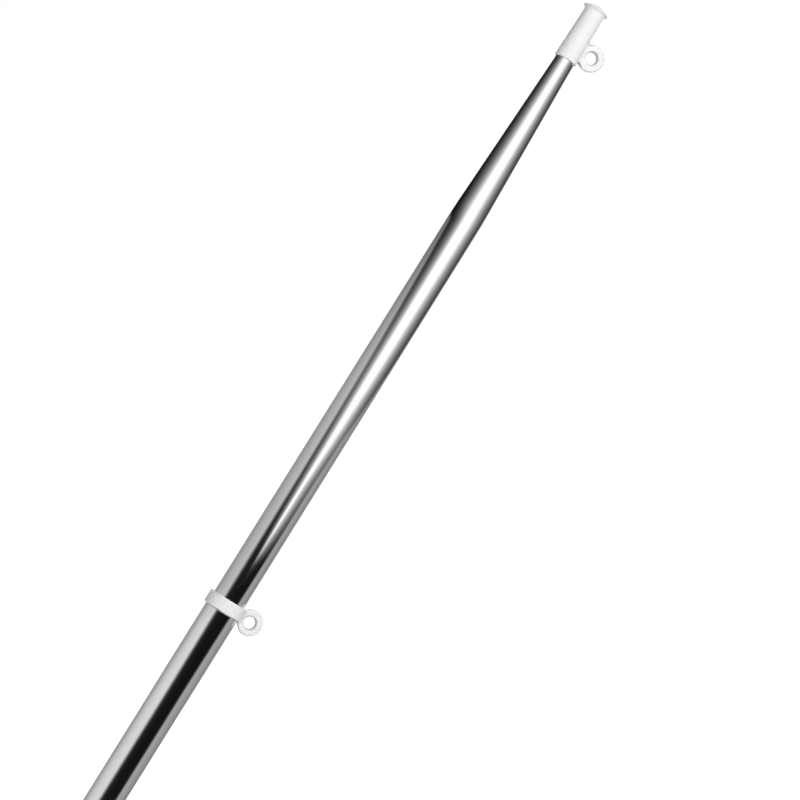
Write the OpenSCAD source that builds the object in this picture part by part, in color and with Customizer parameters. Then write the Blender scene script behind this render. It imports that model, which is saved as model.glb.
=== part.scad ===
// Boat flagstaff: a polished stainless tube drawn down to a taper, a white moulded cap with a flag eye
// pushed over its tip, and a white moulded ring with a second eye that slides on the upper tube.
// Sizes are millimetres. +Z runs up the staff, the foot of the tube is at the origin, both eyes face +X.

/* [Tube] */
// Length from the foot of the tube to the crown of the cap
overall_length = 800; // [700:10:1200]
// Outside diameter of the lower tube, which stands in a socket
lower_od = 25; // [20:0.5:32]
// How far the tube is drawn in at the shoulder, measured on the radius
shoulder_step = 0.75; // [0.5:0.05:1.5]
// Height of the shoulder above the foot
shoulder_z = 301.1; // [150:0.1:400]
// Wall thickness of the tube
wall = 1; // [0.8:0.1:1.5]
// Length of the taper from the parallel tube to the mouth of the cap
taper_length = 131.2; // [80:0.1:200]
// Outside diameter of the tube at the mouth of the cap
mouth_tube_od = 14.25; // [12:0.05:16]
// Rounding on the cut edges of the tube
edge_break = 0.3; // [0.1:0.05:0.4]

/* [Cap] */
// Length of the cap from its mouth to its crown
cap_length = 44.8; // [38:0.1:60]
// How far the tip of the tube reaches into the cap
cap_grip = 34; // [20:0.5:34]
// Wall of the cap at its mouth
cap_wall = 1.15; // [0.9:0.05:2]
// Gap between the bore of the cap and the tube
cap_clearance = 0.1; // [0.05:0.01:0.2]
// Rounding on the outer edge of the mouth
mouth_round = 0.8; // [0.2:0.1:0.8]
// How far the body draws in from the mouth to the neck, measured on the radius
cap_draft = 0.75; // [0.3:0.05:1]
// How far the lip stands out from the neck
lip_flare = 1.6; // [0.8:0.1:2.4]
// Height of the flare under the lip
flare_height = 2.6; // [2:0.1:4]
// Thickness of the lip at its edge
lip_edge = 0.9; // [0.6:0.1:1.5]
// Rise of the crown above the lip
crown_rise = 2.8; // [1:0.1:3.5]

/* [Ring] */
// Height of the band
band_height = 9.4; // [7:0.1:16]
// Wall of the band
band_wall = 2.5; // [1.6:0.05:4]
// Gap between the bore of the ring and the tube
ring_clearance = 0.1; // [0.05:0.01:0.2]
// Gap between the ring and the shoulder it sits over
seat_gap = 0.3; // [0.2:0.05:0.5]
// Rounding on the edges of the band
band_round = 0.6; // [0.4:0.1:1]

/* [Flag eyes] */
// Outside diameter of the cap's eye
cap_eye_od = 19.4; // [16:0.1:24]
// Outside diameter of the ring's eye
ring_eye_od = 18.6; // [16:0.1:24]
// Diameter of the hole through an eye, at its narrowest
eye_hole = 8.8; // [7:0.1:12]
// Length of the straight wall in the middle of that hole
eye_land = 1.6; // [1:0.1:3]
// How far the hole widens from there to the faces of the eye, measured on the radius
eye_flare = 0.9; // [0.3:0.1:1.2]
// Thickness of an eye along its hole
eye_thick = 5.6; // [4.5:0.1:8]
// Rounding on the outer edges of an eye
eye_round = 1.9; // [0.6:0.1:2.2]
// Material between the hole of the cap's eye and the body of the cap
cap_eye_web = 2.6; // [1:0.1:3]
// Material between the hole of the ring's eye and the band
ring_eye_web = 2; // [1:0.1:2.6]
// Height of the cap's eye above the mouth, to the middle of its hole
cap_eye_height = 11.4; // [8:0.1:16]
// How far the ring's eye hangs below the middle of the band
ring_eye_drop = 1.6; // [0:0.1:3]
// Room between the ring's eye and the lower tube, under the band
eye_relief = 1.1; // [0.9:0.1:1.5]

/* [Hidden] */

steel = [0.72, 0.72, 0.71];
white = [0.93, 0.93, 0.92];

lower_r = lower_od / 2;
upper_r = lower_r - shoulder_step;
mouth_r = mouth_tube_od / 2;
mouth_z = overall_length - cap_length;
taper_z = mouth_z - taper_length;
slope = (upper_r - mouth_r) / taper_length;
tip_z = mouth_z + cap_grip;
tip_r = mouth_r - cap_grip * slope;
upper_z = shoulder_z + shoulder_step;

cap_r = mouth_r + cap_clearance + cap_wall;
neck_r = cap_r - cap_draft;
rim_r = lip_edge / 2;
flare_angle = 2 * atan(lip_flare / flare_height);
flare_r = flare_height / sin(flare_angle);
rim_x = neck_r + lip_flare - rim_r * cos(flare_angle);
crown_angle = 2 * atan(crown_rise / rim_x);
crown_r = rim_x / sin(crown_angle) + rim_r;
rim_z = cap_length - crown_r + (crown_r - rim_r) * cos(crown_angle);
lip_z = rim_z - rim_r * sin(flare_angle);
neck_z = lip_z - flare_height;

ring_bore_r = upper_r + ring_clearance;
chamfer_r = lower_r + ring_clearance;
band_r = ring_bore_r + band_wall;
ring_z = shoulder_z + seat_gap;

hole_r = eye_hole / 2;
cap_eye_x = cap_r - cap_draft * cap_eye_height / neck_z + cap_eye_web + hole_r;
cap_eye_z = mouth_z + cap_eye_height;
ring_eye_x = band_r + ring_eye_web + hole_r;
ring_eye_z = ring_z + band_height / 2 - ring_eye_drop;

// Points along an arc about c from angle a to angle b, without the first few if skip is given
function arc(c, r, a, b, n = 6, skip = 0) =
    [for (i = [skip:n]) c + r * [cos(a + (b - a) * i / n), sin(a + (b - a) * i / n)]];

module staff_tube()
{
    inner_lower = lower_r - wall;
    inner_upper = upper_r - wall;
    color(steel)
        rotate_extrude($fn = 128)
            polygon(concat(
                arc([lower_r - edge_break, edge_break], edge_break, -90, 0, 4),
                [[lower_r, shoulder_z], [upper_r, upper_z], [upper_r, taper_z]],
                [[tip_r, tip_z], [tip_r - wall, tip_z]],
                [[inner_upper, taper_z], [inner_upper, upper_z], [inner_lower, shoulder_z]],
                arc([inner_lower + edge_break, edge_break], edge_break, 180, 270, 4)
            ));
}

// A round-edged eye standing on edge, whose hole widens towards both faces
module eye(eye_r)
{
    round_r = min(eye_round, (eye_r - hole_r) / 2 - 0.1, eye_thick / 2 - 0.3);
    b = eye_r - round_r;
    h = eye_thick / 2 - round_r;
    rotate([90, 0, 0])
        rotate_extrude($fn = 96)
            polygon(concat(
                [[hole_r, -eye_land / 2], [hole_r + eye_flare, -eye_thick / 2]],
                arc([b, -h], round_r, 270, 360),
                arc([b, h], round_r, 0, 90),
                [[hole_r + eye_flare, eye_thick / 2], [hole_r, eye_land / 2]]
            ));
}

module cap_body()
{
    rotate_extrude($fn = 96)
        polygon(concat(
            [[0, 0]],
            arc([cap_r - mouth_round, mouth_round], mouth_round, -90, 0, 4),
            arc([neck_r + flare_r, neck_z], flare_r, 180, 180 - flare_angle, 8),
            arc([rim_x, rim_z], rim_r, -flare_angle, 90 - crown_angle, 6, 1),
            arc([0, cap_length - crown_r], crown_r, 90 - crown_angle, 90, 8, 1)
        ));
}

module cap_bore()
{
    below = 1;
    mouth_bore = mouth_r + cap_clearance;
    tip_bore = tip_r + cap_clearance;
    rotate_extrude($fn = 96)
        polygon([
            [0, -below],
            [mouth_bore + below * slope, -below],
            [tip_bore, cap_grip],
            [0, cap_grip]
        ]);
}

module top_cap()
{
    color(white)
        difference()
        {
            union()
            {
                translate([0, 0, mouth_z])
                    cap_body();
                translate([cap_eye_x, 0, cap_eye_z])
                    eye(cap_eye_od / 2);
            }
            translate([0, 0, mouth_z])
                cap_bore();
        }
}

module band()
{
    rotate_extrude($fn = 128)
        polygon(concat(
            [[0, 0]],
            arc([band_r - band_round, band_round], band_round, -90, 0),
            arc([band_r - band_round, band_height - band_round], band_round, 0, 90),
            [[0, band_height]]
        ));
}

module band_bore()
{
    over = 1;
    chamfer = chamfer_r - ring_bore_r;
    rotate_extrude($fn = 128)
        polygon([
            [0, -over],
            [chamfer_r + over, -over],
            [ring_bore_r, chamfer],
            [ring_bore_r, band_height - chamfer / 2],
            [ring_bore_r + over, band_height - chamfer / 2 + over],
            [0, band_height - chamfer / 2 + over]
        ]);
}

// The ring's eye, cut back under the band so that a socket on the lower tube can come up to the ring
module ring_eye()
{
    difference()
    {
        translate([ring_eye_x, 0, ring_eye_z])
            eye(ring_eye_od / 2);
        translate([0, 0, ring_z - ring_eye_od])
            cylinder(r = lower_r + eye_relief, h = ring_eye_od, $fn = 128);
    }
}

module flag_ring()
{
    color(white)
        difference()
        {
            union()
            {
                translate([0, 0, ring_z])
                    band();
                ring_eye();
            }
            translate([0, 0, ring_z])
                band_bore();
        }
}

staff_tube();
top_cap();
flag_ring();
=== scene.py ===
import math

import bpy
import numpy as np
from mathutils import Matrix, Vector


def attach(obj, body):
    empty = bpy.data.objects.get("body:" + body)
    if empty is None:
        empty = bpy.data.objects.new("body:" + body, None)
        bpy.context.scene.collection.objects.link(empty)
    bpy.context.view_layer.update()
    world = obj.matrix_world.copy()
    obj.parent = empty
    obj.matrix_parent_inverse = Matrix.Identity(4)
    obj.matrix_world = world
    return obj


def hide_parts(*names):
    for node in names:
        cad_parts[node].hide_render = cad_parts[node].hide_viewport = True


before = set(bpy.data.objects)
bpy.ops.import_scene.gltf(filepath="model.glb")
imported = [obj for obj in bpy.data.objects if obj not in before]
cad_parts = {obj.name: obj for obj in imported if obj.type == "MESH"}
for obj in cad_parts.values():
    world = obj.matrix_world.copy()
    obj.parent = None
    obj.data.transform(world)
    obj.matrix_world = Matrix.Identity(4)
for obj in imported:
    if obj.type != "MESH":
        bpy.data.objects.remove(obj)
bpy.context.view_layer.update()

# Driving sizes in millimetres, the same as the part's
MM = 0.001
OVERALL_LENGTH = 800
LOWER_R = 12.5
SHOULDER_STEP = 0.75
SHOULDER_Z = 301.1
WALL = 1
TAPER_LENGTH = 131.2
MOUTH_TUBE_R = 7.125
EDGE_BREAK = 0.3

CAP_LENGTH = 44.8
CAP_GRIP = 34
CAP_WALL = 1.15
CAP_CLEARANCE = 0.1
CAP_DRAFT = 0.75
LIP_FLARE = 1.6
FLARE_HEIGHT = 2.6
LIP_EDGE = 0.9
CROWN_RISE = 2.8
MOUTH_ROUND = 0.8

BAND_HEIGHT = 9.4
BAND_WALL = 2.5
RING_CLEARANCE = 0.1
SEAT_GAP = 0.3
BAND_ROUND = 0.6

CAP_EYE_R = 9.7
RING_EYE_R = 9.3
HOLE_R = 4.4
EYE_LAND = 1.6
EYE_FLARE = 0.9
EYE_THICK = 5.6
EYE_ROUND = 1.9
CAP_EYE_WEB = 2.6
RING_EYE_WEB = 2
CAP_EYE_HEIGHT = 11.4
RING_EYE_DROP = 1.6
EYE_RELIEF = 1.1

# Finish of the mouldings: the fillet round an eye, the ease of an edge and the cap's snug hold on the tube
EYE_FILLET = 2
EDGE_EASE = 0.3
SNUG = 0.02

# The tube: the reach of its bends, their steps, how many reaches out the kept points stand, and its segments
TAPER_BEND = 7
SHOULDER_BEND = 0.25
BEND_STEPS = 6
BEND_KEEP = 1.2
TUBE_SEGMENTS = 192

# The mouldings' meshes: the grid's step and margin, how a slope is felt, and the passes that even the points
MESH_STEP = 0.3
MARGIN = 1.5
PROBE = 0.02 * MESH_STEP
LEAST_SLOPE = 0.2
EVENING_PASSES = 4

# Looks: tones, roughness, bump, grains to the metre along each axis, and the painted shade that greys the
# hollows
NOISE_SPAN = (0.3, 0.7)
BUMP_DEPTH = 0.00001
STEEL_TONES = ((0.70, 0.70, 0.69), (0.74, 0.74, 0.735))
STEEL_ROUGHNESS = (0.025, 0.055)
STEEL_HAZE = (60, 60, 9)
STEEL_LINES = (2600, 2600, 14)
LINES_BUMP = 0.02
PLASTIC_TONES = ((0.915, 0.915, 0.905), (0.94, 0.94, 0.935))
PLASTIC_ROUGHNESS = (0.42, 0.54)
PLASTIC_CLOUD = (140, 140, 90)
PLASTIC_GRAIN = (5200, 5200, 5200)
GRAIN_BUMP = 0.05
# Painted shade in the hollows: how far the piece looks for itself, the openness it spans, and its darkest
# share
PAINTED_SHADE_REACH = 0.009
PAINTED_SHADE_SPAN = (0.55, 0.92)
PAINTED_SHADE_TONE = 0.34

# The floor's paper: its tone, its glow in the middle and far out, and how far out that is in metres
PAPER = 0.86
PAPER_GLOW = (0.06, 0.98)
PAPER_GLOW_REACH = 2.5

# Sizes that follow from the driving sizes
UPPER_R = LOWER_R - SHOULDER_STEP
UPPER_Z = SHOULDER_Z + SHOULDER_STEP
MOUTH_Z = OVERALL_LENGTH - CAP_LENGTH
TAPER_Z = MOUTH_Z - TAPER_LENGTH
SLOPE = (UPPER_R - MOUTH_TUBE_R) / TAPER_LENGTH
TIP_Z = MOUTH_Z + CAP_GRIP
TIP_R = MOUTH_TUBE_R - CAP_GRIP * SLOPE

CAP_R = MOUTH_TUBE_R + CAP_CLEARANCE + CAP_WALL
NECK_R = CAP_R - CAP_DRAFT
RIM_R = LIP_EDGE / 2
FLARE = 2 * math.atan(LIP_FLARE / FLARE_HEIGHT)
FLARE_R = FLARE_HEIGHT / math.sin(FLARE)
RIM_X = NECK_R + LIP_FLARE - RIM_R * math.cos(FLARE)
CROWN = 2 * math.atan(CROWN_RISE / RIM_X)
CROWN_R = RIM_X / math.sin(CROWN) + RIM_R
RIM_Z = OVERALL_LENGTH - CROWN_R + (CROWN_R - RIM_R) * math.cos(CROWN)
NECK_Z = RIM_Z - RIM_R * math.sin(FLARE) - FLARE_HEIGHT

RING_BORE = UPPER_R + RING_CLEARANCE
CHAMFER_R = LOWER_R + RING_CLEARANCE
CHAMFER = CHAMFER_R - RING_BORE
BAND_R = RING_BORE + BAND_WALL
RING_Z = SHOULDER_Z + SEAT_GAP
BAND_TOP = RING_Z + BAND_HEIGHT

DRAFT_AT_EYE = CAP_DRAFT * CAP_EYE_HEIGHT / (NECK_Z - MOUTH_Z)
CAP_EYE = (CAP_R - DRAFT_AT_EYE + CAP_EYE_WEB + HOLE_R, MOUTH_Z + CAP_EYE_HEIGHT)
RING_EYE = (BAND_R + RING_EYE_WEB + HOLE_R, RING_Z + BAND_HEIGHT / 2 - RING_EYE_DROP)


# Meshes

def mesh_object(name, verts, faces):
    mesh = bpy.data.meshes.new(name)
    mesh.from_pydata([tuple(v) for v in verts], [], [tuple(f) for f in faces])
    mesh.update()
    mesh.polygons.foreach_set("use_smooth", [True] * len(mesh.polygons))
    obj = bpy.data.objects.new(name, mesh)
    bpy.context.collection.objects.link(obj)
    return obj


def lathe(name, loop, segments):
    """Turns a closed loop of (radius, height) points about Z."""
    turn = np.linspace(0, 2 * math.pi, segments, endpoint=False)
    ring = np.stack([np.cos(turn), np.sin(turn)], 1)
    verts = np.concatenate([np.c_[r * ring, np.full(segments, z)] for r, z in loop]) * MM
    faces = []
    for i in range(len(loop)):
        a = i * segments
        b = (i + 1) % len(loop) * segments
        for j in range(segments):
            k = (j + 1) % segments
            faces.append((a + j, a + k, b + k, b + j))
    return mesh_object(name, verts, faces)


def part_way(start, end, reach):
    step = np.array(end) - start
    return start + step / np.linalg.norm(step) * reach


def soften(corners):
    """Rounds each (x, y, reach) corner of a closed loop and keeps a point just past either end of it."""
    loop = []
    t = np.linspace(0, 1, BEND_STEPS + 1)[:, None]
    for i, (x, y, reach) in enumerate(corners):
        corner = np.array((x, y), float)
        before = part_way(corner, corners[i - 1][:2], reach)
        after = part_way(corner, corners[(i + 1) % len(corners)][:2], reach)
        bend = (1 - t) ** 2 * before + 2 * t * (1 - t) * corner + t ** 2 * after
        loop += [corner + BEND_KEEP * (before - corner), *bend, corner + BEND_KEEP * (after - corner)]
    return loop


def tube_loop():
    outside = [
        (LOWER_R, 0, EDGE_BREAK),
        (LOWER_R, SHOULDER_Z, SHOULDER_BEND),
        (UPPER_R, UPPER_Z, SHOULDER_BEND),
        (UPPER_R, TAPER_Z, TAPER_BEND),
        (TIP_R, TIP_Z, EDGE_BREAK),
    ]
    inside = [(r - WALL, z, reach) for r, z, reach in reversed(outside)]
    return soften(outside + inside)


# Distance fields of the mouldings, in millimetres and negative inside

def outline_distance(x, y, outline):
    """Signed distance to a closed outline."""
    near = np.full(x.shape, np.inf)
    inside = np.zeros(x.shape, bool)
    for (x0, y0), (x1, y1) in zip(outline, outline[1:] + outline[:1]):
        ex, ey = x1 - x0, y1 - y0
        wx, wy = x - x0, y - y0
        t = np.clip((wx * ex + wy * ey) / (ex * ex + ey * ey), 0, 1)
        near = np.minimum(near, (wx - ex * t) ** 2 + (wy - ey * t) ** 2)
        if y0 != y1:
            inside ^= ((y0 > y) != (y1 > y)) & (x < ex * (y - y0) / ey + x0)
    return np.where(inside, -1, 1) * np.sqrt(near)


def rounded_box(x, y, half_x, half_y, r):
    """Signed distance to a rectangle about the origin with corners of radius r."""
    dx, dy = abs(x) - (half_x - r), abs(y) - (half_y - r)
    return np.hypot(np.maximum(dx, 0), np.maximum(dy, 0)) + np.minimum(np.maximum(dx, dy), 0) - r


def join(a, b, r):
    """Union of two distances with a fillet of about r."""
    h = np.maximum(r - abs(a - b), 0) / r
    return np.minimum(a, b) - h * h * r / 4


def cut(a, b, r):
    """The first distance less the second, with the edge eased by about r."""
    return -join(-a, b, r)


def arc(cx, cy, r, a, b, steps):
    turn = np.linspace(a, b, steps + 1)
    return [(cx + r * math.cos(t), cy + r * math.sin(t)) for t in turn]


# Outlines run inward across the axis to this radius, and bores run this far beyond their mouths
INWARD = -20
BEYOND = 9
QUARTER = math.pi / 2
CAP_OUTLINE = (
    [(INWARD, MOUTH_Z)]
    + arc(CAP_R - MOUTH_ROUND, MOUTH_Z + MOUTH_ROUND, MOUTH_ROUND, -QUARTER, 0, steps=4)
    + arc(NECK_R + FLARE_R, NECK_Z, FLARE_R, math.pi, math.pi - FLARE, steps=10)
    + arc(RIM_X, RIM_Z, RIM_R, -FLARE, QUARTER - CROWN, steps=6)[1:]
    + arc(0, OVERALL_LENGTH - CROWN_R, CROWN_R, QUARTER - CROWN, QUARTER, steps=8)[1:]
    + [(INWARD, OVERALL_LENGTH)]
)
CAP_BORE = [
    (INWARD, MOUTH_Z - BEYOND),
    (MOUTH_TUBE_R + SNUG + BEYOND * SLOPE, MOUTH_Z - BEYOND),
    (TIP_R + SNUG, TIP_Z),
    (INWARD, TIP_Z),
]
BAND_HOLE = [
    (INWARD, RING_Z - BEYOND),
    (CHAMFER_R + BEYOND, RING_Z - BEYOND),
    (RING_BORE, RING_Z + CHAMFER),
    (RING_BORE, BAND_TOP - CHAMFER / 2),
    (RING_BORE + BEYOND, BAND_TOP - CHAMFER / 2 + BEYOND),
    (INWARD, BAND_TOP - CHAMFER / 2 + BEYOND),
]


def eye(x, y, z, place, outer_r):
    """A round-edged eye whose hole widens towards both faces."""
    r = np.hypot(x - place[0], z - place[1])
    disc = rounded_box(r, y, outer_r, EYE_THICK / 2, EYE_ROUND)
    slant = 2 * EYE_FLARE / (EYE_THICK - EYE_LAND)
    hole = r - HOLE_R - slant * np.maximum(abs(y) - EYE_LAND / 2, 0)
    return cut(disc, hole / math.hypot(1, slant), EDGE_EASE)


def cap_field(x, y, z):
    r = np.hypot(x, y)
    solid = join(outline_distance(r, z, CAP_OUTLINE), eye(x, y, z, CAP_EYE, CAP_EYE_R), EYE_FILLET)
    return cut(solid, outline_distance(r, z, CAP_BORE), EDGE_EASE)


def ring_field(x, y, z):
    """The band with its eye, which is cut back under the band to leave room round the lower tube."""
    r = np.hypot(x, y)
    band = rounded_box(r, z - RING_Z - BAND_HEIGHT / 2, BAND_R, BAND_HEIGHT / 2, BAND_ROUND)
    relief = rounded_box(r, z - RING_Z + RING_EYE_R, LOWER_R + EYE_RELIEF, RING_EYE_R, SNUG)
    lug = cut(eye(x, y, z, RING_EYE, RING_EYE_R), relief, EDGE_EASE)
    solid = join(band, lug, EYE_FILLET)
    return cut(solid, outline_distance(r, z, BAND_HOLE), EDGE_EASE)


def surface_net(value, low, step):
    """Points and quads about the zero level of a grid of values, one point to each cell that it crosses."""
    inside = value < 0
    size = value.shape
    corners = [(i, j, k) for i in (0, 1) for j in (0, 1) for k in (0, 1)]
    part = {c: tuple(slice(o, size[i] - 1 + o) for i, o in enumerate(c)) for c in corners}
    count = sum(inside[part[c]].astype(int) for c in corners)
    active = (count > 0) & (count < 8)
    number = np.full(active.shape, -1)
    number[active] = np.arange(active.sum())

    cells = np.argwhere(active)
    total = np.zeros((len(cells), 3))
    hits = np.zeros(len(cells))
    for a in corners:
        for axis in range(3):
            if a[axis]:
                continue
            b = tuple(1 if i == axis else o for i, o in enumerate(a))
            fa, fb = value[part[a]][active], value[part[b]][active]
            crossed = (fa < 0) != (fb < 0)
            t = np.where(crossed, fa / np.where(crossed, fa - fb, 1), 0)
            place = np.array(a, float) + t[:, None] * np.eye(3)[axis]
            total += np.where(crossed[:, None], place, 0)
            hits += crossed
    points = low + step * (cells + total / hits[:, None])

    quads = []
    unit = np.eye(3, dtype=int)
    for axis in range(3):
        u, v = unit[(axis + 1) % 3], unit[(axis + 2) % 3]
        first = np.take(inside, range(size[axis] - 1), axis)
        second = np.take(inside, range(1, size[axis]), axis)
        at = np.argwhere(first != second)
        quad = np.stack([number[tuple((at - s).T)] for s in (u + v, v, 0 * u, u)], 1)
        leaving = first[tuple(at.T)]
        quads.append(np.where(leaving[:, None], quad, quad[:, ::-1]))
    return points, np.concatenate(quads)


def settled(points, field):
    """Points moved along the slope of a field onto its zero level."""
    ahead = [field(*(points + PROBE * axis).T) for axis in np.eye(3)]
    back = [field(*(points - PROBE * axis).T) for axis in np.eye(3)]
    slope = (np.stack(ahead, 1) - np.stack(back, 1)) / (2 * PROBE)
    length = np.maximum(np.linalg.norm(slope, axis=1), LEAST_SLOPE)
    move = np.clip(field(*points.T) / length, -MESH_STEP, MESH_STEP)
    return points - slope * (move / length)[:, None]


def moulding(name, field, low, high):
    """A closed, even mesh of quads on the zero level of a field between two corners."""
    axes = [a + MESH_STEP * np.arange(math.ceil((b - a) / MESH_STEP) + 1) for a, b in zip(low, high)]
    value = field(*np.meshgrid(*axes, indexing="ij"))
    points, quads = surface_net(value, np.array(low, float), MESH_STEP)
    points = settled(settled(points, field), field)
    edges = np.concatenate([quads[:, [i, (i + 1) % 4]] for i in range(4)])
    edges = np.concatenate([edges, edges[:, ::-1]])
    for _ in range(EVENING_PASSES):
        total = np.zeros_like(points)
        hits = np.zeros(len(points))
        np.add.at(total, edges[:, 0], points[edges[:, 1]])
        np.add.at(hits, edges[:, 0], 1)
        points = settled((points + total / hits[:, None]) / 2, field)
    return mesh_object(name, settled(points, field) * MM, quads)


# Shader nodes

def new_material(name):
    mat = bpy.data.materials.new(name)
    mat.use_nodes = True
    tree = mat.node_tree
    return mat, tree, tree.nodes["Principled BSDF"]


def stretched_noise(tree, scale, detail):
    """Noise in object space, with so many grains to the metre along each axis."""
    coord = tree.nodes.new("ShaderNodeTexCoord")
    place = tree.nodes.new("ShaderNodeMapping")
    place.inputs["Scale"].default_value = scale
    noise = tree.nodes.new("ShaderNodeTexNoise")
    noise.inputs["Scale"].default_value = 1
    noise.inputs["Detail"].default_value = detail
    tree.links.new(coord.outputs["Object"], place.inputs["Vector"])
    tree.links.new(place.outputs["Vector"], noise.inputs["Vector"])
    return noise.outputs["Fac"]


def remap(tree, value, low, high, to_low, to_high):
    node = tree.nodes.new("ShaderNodeMapRange")
    for socket, number in zip(("From Min", "From Max", "To Min", "To Max"), (low, high, to_low, to_high)):
        node.inputs[socket].default_value = number
    tree.links.new(value, node.inputs["Value"])
    return node.outputs["Result"]


def two_tone(tree, value, a, b):
    ramp = tree.nodes.new("ShaderNodeValToRGB")
    ramp.color_ramp.elements[0].color = (*a, 1)
    ramp.color_ramp.elements[1].color = (*b, 1)
    tree.links.new(value, ramp.inputs["Fac"])
    return ramp.outputs["Color"]


def openness(tree, reach):
    """1 in the open and less in a hollow, from what the piece itself hides within a reach."""
    node = tree.nodes.new("ShaderNodeAmbientOcclusion")
    node.only_local = True
    node.inputs["Distance"].default_value = reach
    return node.outputs["AO"]


def scaled(tree, colour, share):
    node = tree.nodes.new("ShaderNodeVectorMath")
    node.operation = "SCALE"
    tree.links.new(colour, node.inputs["Vector"])
    tree.links.new(share, node.inputs["Scale"])
    return node.outputs["Vector"]


def bump(tree, value, strength, distance):
    node = tree.nodes.new("ShaderNodeBump")
    node.inputs["Strength"].default_value = strength
    node.inputs["Distance"].default_value = distance
    tree.links.new(value, node.inputs["Height"])
    return node.outputs["Normal"]


def node_math(tree, op, *given):
    node = tree.nodes.new("ShaderNodeMath")
    node.operation = op
    for socket, value in zip(node.inputs, given):
        if isinstance(value, (int, float)):
            socket.default_value = value
        else:
            tree.links.new(value, socket)
    return node.outputs[0]


def mix_shaders(tree, share, a, b):
    node = tree.nodes.new("ShaderNodeMixShader")
    for socket, given in zip(node.inputs, (share, a, b)):
        tree.links.new(given, socket)
    return node.outputs[0]


def seen_plainly(tree):
    """1 for rays from the camera, straight or through a clear surface."""
    path = tree.nodes.new("ShaderNodeLightPath")
    return node_math(tree, "MAXIMUM", path.outputs["Is Camera Ray"], path.outputs["Is Transmission Ray"])


# Materials

def polished_steel():
    """Mirror-polished stainless: fine lengthwise polishing lines, a faint haze and slight cloudiness."""
    mat, tree, shader = new_material("polished_steel")
    lines = stretched_noise(tree, STEEL_LINES, detail=3)
    haze = stretched_noise(tree, STEEL_HAZE, detail=4)
    shader.inputs["Metallic"].default_value = 1
    tree.links.new(two_tone(tree, haze, *STEEL_TONES), shader.inputs["Base Color"])
    tree.links.new(remap(tree, haze, *NOISE_SPAN, *STEEL_ROUGHNESS), shader.inputs["Roughness"])
    tree.links.new(bump(tree, lines, LINES_BUMP, BUMP_DEPTH), shader.inputs["Normal"])
    return mat


def white_plastic():
    """Satin white moulded nylon that lets a little light through, with a fine grain and painted shade that
    greys its hollows.
    """
    mat, tree, shader = new_material("white_plastic")
    grain = stretched_noise(tree, PLASTIC_GRAIN, detail=2)
    cloud = stretched_noise(tree, PLASTIC_CLOUD, detail=3)
    white = two_tone(tree, cloud, *PLASTIC_TONES)
    # Painted shade: the base colour goes grey where the piece hides itself, standing in for the shade in its
    # hollows and holes
    grey = remap(tree, openness(tree, PAINTED_SHADE_REACH), *PAINTED_SHADE_SPAN, PAINTED_SHADE_TONE, 1)
    tree.links.new(scaled(tree, white, grey), shader.inputs["Base Color"])
    tree.links.new(remap(tree, cloud, *NOISE_SPAN, *PLASTIC_ROUGHNESS), shader.inputs["Roughness"])
    tree.links.new(bump(tree, grain, GRAIN_BUMP, BUMP_DEPTH), shader.inputs["Normal"])
    shader.inputs["Specular IOR Level"].default_value = 0.2
    shader.inputs["Subsurface Weight"].default_value = 0.1
    shader.inputs["Subsurface Radius"].default_value = (1.0, 0.95, 0.9)
    shader.inputs["Subsurface Scale"].default_value = 0.0012
    return mat


def floor_paper():
    """Matt pale paper with a white of its own to the camera, growing outwards into the white behind it."""
    mat, tree, shader = new_material("floor_paper")
    shader.inputs["Base Color"].default_value = (PAPER, PAPER, PAPER, 1)
    shader.inputs["Roughness"].default_value = 0.9
    coord = tree.nodes.new("ShaderNodeTexCoord")
    away = tree.nodes.new("ShaderNodeVectorMath")
    away.operation = "LENGTH"
    tree.links.new(coord.outputs["Object"], away.inputs[0])
    white = remap(tree, away.outputs["Value"], 0, PAPER_GLOW_REACH, *PAPER_GLOW)
    glow = tree.nodes.new("ShaderNodeEmission")
    tree.links.new(node_math(tree, "MULTIPLY", seen_plainly(tree), white), glow.inputs["Strength"])
    both = tree.nodes.new("ShaderNodeAddShader")
    tree.links.new(shader.outputs[0], both.inputs[0])
    tree.links.new(glow.outputs[0], both.inputs[1])
    tree.links.new(both.outputs[0], tree.nodes["Material Output"].inputs["Surface"])
    return mat


# The flagstaff

steel = polished_steel()
plastic = white_plastic()
cap_low = (-RIM_X - MARGIN, -RIM_X - MARGIN, MOUTH_Z - MARGIN)
cap_high = (CAP_EYE[0] + CAP_EYE_R + MARGIN, RIM_X + MARGIN, OVERALL_LENGTH + MARGIN)
ring_low = (-BAND_R - MARGIN, -BAND_R - MARGIN, RING_EYE[1] - RING_EYE_R - MARGIN)
ring_high = (RING_EYE[0] + RING_EYE_R + MARGIN, BAND_R + MARGIN, RING_EYE[1] + RING_EYE_R + MARGIN)
tube = lathe("tube_shell", tube_loop(), TUBE_SEGMENTS)
cap = moulding("cap_moulding", cap_field, cap_low, cap_high)
ring = moulding("ring_moulding", ring_field, ring_low, ring_high)
for piece, node, body, mat, slot in (
    (tube, "staff_tube", "staff", steel, "polished_steel"),
    (cap, "top_cap", "staff", plastic, "white_plastic"),
    (ring, "flag_ring", "ring", plastic, "white_plastic"),
):
    piece.data.materials.append(mat)
    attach(piece, body)
    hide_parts(node)


# Camera, turned so that two points on the axis of the staff fall on the pixels where the photo has them

IMAGE = 800
SHORTEST_FOCAL = 500.0
LONGEST_FOCAL = 20000.0
HALVINGS = 60
AZIMUTH = math.radians(-13)
DISTANCE = 1.9
EYE_LEVEL = 0.34
RING_PIXEL = (225.5, 605.4)
MOUTH_PIXEL = (564.9, 60.3)
UP = Vector((0, 0, 1))
toward = Vector((math.sin(AZIMUTH), -math.cos(AZIMUTH), 0))
rightward = Vector((math.cos(AZIMUTH), math.sin(AZIMUTH), 0))


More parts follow.
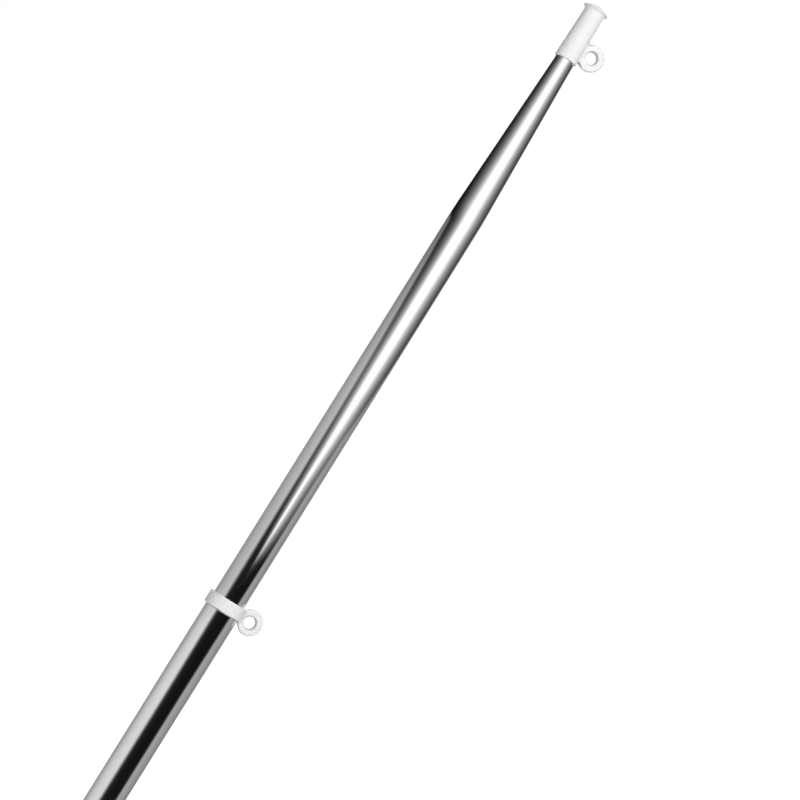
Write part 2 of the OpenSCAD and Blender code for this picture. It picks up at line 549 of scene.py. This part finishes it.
def pixel_ray(pixel, focal):
    return Vector((pixel[0] - IMAGE / 2, IMAGE / 2 - pixel[1], -focal)).normalized()


def basis(a, b):
    """An orthonormal frame set by two directions."""
    across = a.cross(b).normalized()
    return Matrix((a, across, a.cross(across))).transposed()


def aim(camera, point_a, pixel_a, point_b, pixel_b):
    """Turns the camera and sets its lens so that two points fall on two pixels of the square image."""
    ray_a = (point_a - camera.location).normalized()
    ray_b = (point_b - camera.location).normalized()
    low, high = SHORTEST_FOCAL, LONGEST_FOCAL
    for _ in range(HALVINGS):
        focal = (low + high) / 2
        if pixel_ray(pixel_a, focal).angle(pixel_ray(pixel_b, focal)) > ray_a.angle(ray_b):
            low = focal
        else:
            high = focal
    turn = basis(ray_a, ray_b) @ basis(pixel_ray(pixel_a, focal), pixel_ray(pixel_b, focal)).transposed()
    camera.rotation_mode = "QUATERNION"
    camera.rotation_quaternion = turn.to_quaternion()
    camera.data.lens = camera.data.sensor_width * focal / IMAGE


camera = bpy.data.objects.new("camera", bpy.data.cameras.new("camera"))
bpy.context.collection.objects.link(camera)
camera.location = toward * DISTANCE + UP * EYE_LEVEL
ring_middle = UP * (RING_Z + BAND_HEIGHT / 2) * MM
cap_mouth = UP * MOUTH_Z * MM
aim(camera, ring_middle, RING_PIXEL, cap_mouth, MOUTH_PIXEL)
bpy.context.scene.camera = camera


# Studio: bearings are degrees to the right of the viewing side, heights are degrees above the horizon

LOWEST = -6
HIGHEST = 30
DARK = 0.1
FILL_LEFT = 0.04
FILL_RIGHT = 0.28
SHEEN = 1.38
GAMMA = 2.2

# The side screens: the glow past the left one, how soft their edges are, and where the left one changes tone
EDGE_GLOW = 0.12
EDGE_GLOW_START = 8
EDGE_GLOW_FADE = 11
LEFT_SOFT = 13
RIGHT_SOFT = 12
LEFT_SPLIT = -1.1
LEFT_SPLIT_SOFT = 0.6

# The screen behind with its gaps
GAP_TONE = 0.14
BACK_GAP = 155
BACK_GAP_SOFT = 4
BACK_SCREEN = 168
BACK_SCREEN_SOFT = 5
BACK_TONE = 0.95

# The light and the gaps low down
LOW_TOP = -7
LOW_SOFT = 0.8
LOW_LIGHT = (2, 44)
LOW_LIGHT_SOFT = 7
LOW_LIGHT_TONE = 0.92
LOW_GAP = (112, 128)
LOW_GAP_SOFT = 5

# Lamps, in metres: their size, and the height on the staff that they point at
LAMP_SIZE = 1.0
LAMP_AIM = 0.58


def curve_of(tree, value, low, high, stops, to_low, to_high):
    """A piecewise linear function of a value between low and high, from (value, result) stops."""
    ramp = tree.nodes.new("ShaderNodeValToRGB")
    elements = ramp.color_ramp.elements
    while len(elements) < len(stops):
        elements.new(0.5)
    for element, (x, y) in zip(elements, stops):
        element.position = (x - low) / (high - low)
        element.color = (*[(y - to_low) / (to_high - to_low)] * 3, 1)
    tree.links.new(remap(tree, value, low, high, 0, 1), ramp.inputs["Fac"])
    return remap(tree, ramp.outputs["Color"], 0, 1, to_low, to_high)


def step_at(tree, value, edge, soft):
    """0 below an edge and 1 above it, eased over soft on both sides."""
    node = tree.nodes.new("ShaderNodeMapRange")
    node.interpolation_type = "SMOOTHSTEP"
    node.inputs["From Min"].default_value = -soft
    node.inputs["From Max"].default_value = soft
    tree.links.new(node_math(tree, "SUBTRACT", value, edge), node.inputs["Value"])
    return node.outputs["Result"]


def between(tree, value, ends, soft):
    """1 between two ends and 0 outside them, eased over soft on both sides of each."""
    first = step_at(tree, value, ends[0], soft)
    last = step_at(tree, value, ends[1], soft)
    return node_math(tree, "SUBTRACT", first, last)


def blend_values(tree, a, b, share):
    return node_math(tree, "MULTIPLY_ADD", node_math(tree, "SUBTRACT", b, a), share, a)


def beyond(tree, over, fade):
    """How many times its fade a value is over its end, or 0 within it."""
    return node_math(tree, "DIVIDE", node_math(tree, "MAXIMUM", over, 0), fade)


def decay(tree, value):
    """1 at 0, dying away as the value grows."""
    return node_math(tree, "EXPONENT", node_math(tree, "MULTIPLY", value, -1))


def sky_along(tree, axis):
    """The share of a direction in the sky that lies along an axis."""
    coord = tree.nodes.new("ShaderNodeTexCoord")
    node = tree.nodes.new("ShaderNodeVectorMath")
    node.operation = "DOT_PRODUCT"
    node.inputs[1].default_value = axis
    tree.links.new(coord.outputs["Generated"], node.inputs[0])
    return node.outputs["Value"]


def studio_pattern(tree):
    """What polished metal sees.

    It is a dark room with a soft white light high in front, a grey screen on either side and a narrow
    white one behind. Low down there is another light in front and a gap in each side screen.
    """
    turn = node_math(tree, "ARCTAN2", sky_along(tree, rightward), sky_along(tree, toward))
    bearing = node_math(tree, "DEGREES", turn)
    height = node_math(tree, "DEGREES", node_math(tree, "ARCSINE", sky_along(tree, UP)))

    def by_height(to_low, to_high, *stops):
        return curve_of(tree, height, LOWEST, HIGHEST, stops, to_low, to_high)

    # The soft light: its strength, the bearings where it ends, and how slowly it dies away past them
    power = by_height(0, 1.2, (-0.05, 0.09), (0.25, 0.80), (0.7, 0.99), (1.2, 1.05), (3, 1.0))
    left_end = by_height(-40, 60, (0.3, 12.5), (2, 10.5), (3.2, 5.5), (5, -2.5), (8, -9.5), (16, -15))
    right_end = by_height(-40, 60, (0.5, 12), (2, 17.5), (3.2, 30), (4.5, 39), (8, 43), (13, 40), (17, 28))
    left_fade = by_height(
        0, 300, (0, 4), (0.7, 13), (1.2, 19), (2, 27), (4, 39), (8.5, 44), (12, 60), (16, 64), (30, 300))
    right_fade = by_height(0, 300, (0, 26), (1.1, 44), (3.2, 60), (6, 66), (16, 66), (30, 300))
    left_off = beyond(tree, node_math(tree, "SUBTRACT", left_end, bearing), left_fade)
    right_off = beyond(tree, node_math(tree, "SUBTRACT", bearing, right_end), right_fade)
    fade = decay(tree, node_math(tree, "ADD", left_off, right_off))
    light = node_math(tree, "MULTIPLY", power, fade)

    # The screen on the left: its near edge, the glow past that edge, and its tone above and below its split
    left_edge = by_height(
        -200, 0, (-3.4, -26), (-1.3, -32), (0.6, -36), (2, -39), (3.7, -46), (4.9, -53), (6.2, -69),
        (7.4, -88), (8.3, -110), (9.2, -190))
    past = node_math(tree, "SUBTRACT", node_math(tree, "SUBTRACT", bearing, left_edge), EDGE_GLOW_START)
    glow = decay(tree, beyond(tree, past, EDGE_GLOW_FADE))
    tone = node_math(tree, "MAXIMUM", light, node_math(tree, "MULTIPLY_ADD", glow, EDGE_GLOW, DARK))
    left_high = curve_of(tree, bearing, -180, 0, [(-130, 0.58), (-95, 0.66), (-60, 0.71), (-30, 0.74)], 0, 1)
    left_low = curve_of(tree, bearing, -180, 0, [(-130, 0.60), (-95, 0.76), (-60, 0.83), (-30, 0.83)], 0, 1)
    left_tone = blend_values(tree, left_low, left_high, step_at(tree, height, LEFT_SPLIT, LEFT_SPLIT_SOFT))
    left_tone = node_math(tree, "MULTIPLY", left_tone, by_height(0, 1, (4.3, 1), (6.5, 0.9), (8.2, 0.74)))
    tone = blend_values(tree, left_tone, tone, step_at(tree, bearing, left_edge, LEFT_SOFT))

    # The screen on the right
    right_edge = by_height(
        0, 200, (-3, 63.5), (-1.3, 68), (-0.6, 73.5), (2, 77), (3.2, 88), (3.7, 104), (4.9, 132),
        (6, 141), (12, 146))
    right_tone = curve_of(tree, bearing, 0, 180, [(80, 0.62), (110, 0.57), (132, 0.50), (150, 0.56)], 0, 1)
    tone = blend_values(tree, tone, right_tone, step_at(tree, bearing, right_edge, RIGHT_SOFT))

    # The narrow screen behind, between two dark gaps
    behind = node_math(tree, "ABSOLUTE", bearing)
    tone = blend_values(tree, tone, GAP_TONE, step_at(tree, behind, BACK_GAP, BACK_GAP_SOFT))
    tone = blend_values(tree, tone, BACK_TONE, step_at(tree, behind, BACK_SCREEN, BACK_SCREEN_SOFT))

    # A light in front and a gap in each side screen, so low that they show only from above
    low = node_math(tree, "SUBTRACT", 1, step_at(tree, height, LOW_TOP, LOW_SOFT))
    front = between(tree, bearing, LOW_LIGHT, LOW_LIGHT_SOFT)
    tone = blend_values(tree, tone, LOW_LIGHT_TONE, node_math(tree, "MULTIPLY", front, low))
    gap = between(tree, behind, LOW_GAP, LOW_GAP_SOFT)
    tone = blend_values(tree, tone, GAP_TONE, node_math(tree, "MULTIPLY", gap, low))
    return node_math(tree, "POWER", tone, GAMMA)


def background(tree, colour, strength):
    node = tree.nodes.new("ShaderNodeBackground")
    node.inputs["Strength"].default_value = strength
    if isinstance(colour, tuple):
        node.inputs["Color"].default_value = (*colour, 1)
    else:
        tree.links.new(colour, node.inputs["Color"])
    return node.outputs[0]


def studio_world():
    """White to the camera, the studio to polished metal, and otherwise a soft fill, weaker from the left."""
    world = bpy.data.worlds.new("studio")
    world.use_nodes = True
    tree = world.node_tree
    tree.nodes.clear()
    path = tree.nodes.new("ShaderNodeLightPath")
    fill = background(tree, remap(tree, sky_along(tree, rightward), -1, 1, FILL_LEFT, FILL_RIGHT), 1)
    shine = background(tree, studio_pattern(tree), SHEEN)
    lit = mix_shaders(tree, path.outputs["Is Glossy Ray"], fill, shine)
    out = tree.nodes.new("ShaderNodeOutputWorld")
    white = background(tree, (1, 1, 1), 1)
    tree.links.new(mix_shaders(tree, seen_plainly(tree), lit, white), out.inputs["Surface"])
    return world


def soft_light(name, bearing, height, distance, power):
    """A large square lamp aimed at the upper half of the staff, unseen in reflections."""
    data = bpy.data.lights.new(name, "AREA")
    data.shape = "SQUARE"
    data.size = LAMP_SIZE
    data.energy = power
    lamp = bpy.data.objects.new(name, data)
    bpy.context.collection.objects.link(lamp)
    b = math.radians(bearing)
    h = math.radians(height)
    away = (toward * math.cos(b) + rightward * math.sin(b)) * math.cos(h) + UP * math.sin(h)
    lamp.location = UP * LAMP_AIM + away * distance
    lamp.rotation_mode = "QUATERNION"
    lamp.rotation_quaternion = (-away).to_track_quat("-Z", "Y")
    lamp.visible_glossy = False
    lamp.visible_camera = False


bpy.context.scene.world = studio_world()
soft_light("key", bearing=10, height=22, distance=1.7, power=21.5)
soft_light("left_back", bearing=-150, height=10, distance=1.9, power=11.5)
soft_light("right_back", bearing=150, height=10, distance=1.9, power=10)
soft_light("top_back", bearing=180, height=65, distance=1.7, power=7)

FLOOR_HALF = 4
FLOOR_DROP = 0.0005
corners = [(-1, -1), (1, -1), (1, 1), (-1, 1)]
floor = mesh_object("floor", [(x * FLOOR_HALF, y * FLOOR_HALF, 0) for x, y in corners], [(0, 1, 2, 3)])
floor.location.z = -FLOOR_DROP
floor.visible_glossy = False
floor.data.materials.append(floor_paper())

bpy.context.scene.view_settings.view_transform = "Standard"
